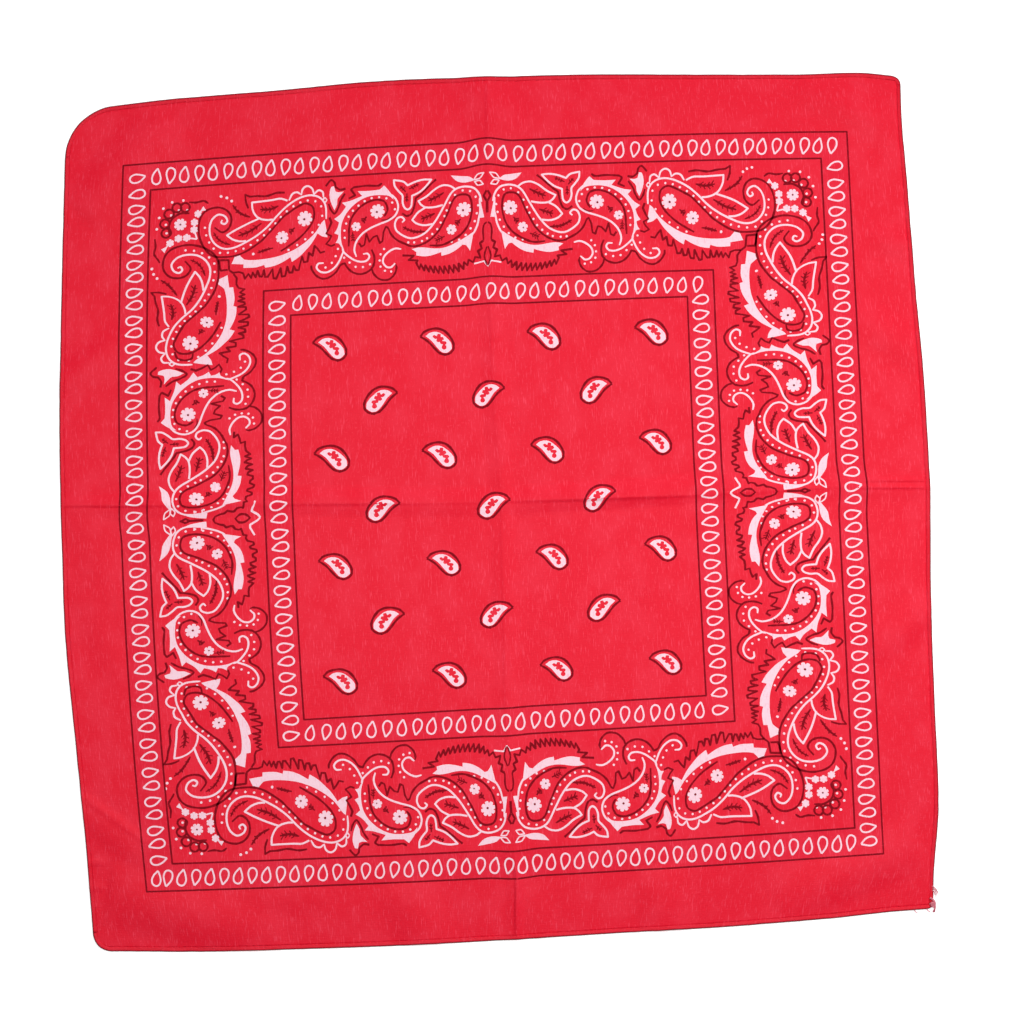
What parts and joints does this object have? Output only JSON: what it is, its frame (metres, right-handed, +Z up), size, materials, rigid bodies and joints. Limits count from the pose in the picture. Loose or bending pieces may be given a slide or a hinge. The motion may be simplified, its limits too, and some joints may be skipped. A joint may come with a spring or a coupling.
{
  "type": "bandana",
  "caption": "Square printed cotton bandana laid flat and face up, with narrow rolled hems, soft quarter-fold creases and gently bowed edges.",
  "frame": {"origin": "on the surface that the cloth lies on, under the middle of its bounding box", "axes": "+Z up from the cloth's printed face, +Y towards the top edge as laid, +X to the right; the weave is turned about 2.6 degrees anticlockwise from the axes"},
  "size_m": [0.5654, 0.5652, 0.004],
  "materials": {
    "printed_cotton": "printed plain-weave cotton, matt",
    "hem_cotton": "rolled and machine-stitched hem of the same cotton, matt"
  },
  "bodies": {
    "root": {"cloth": "printed_cotton", "hem_top": "hem_cotton", "hem_right": "hem_cotton", "hem_bottom": "hem_cotton", "hem_left": "hem_cotton"}
  },
  "joints": []
}
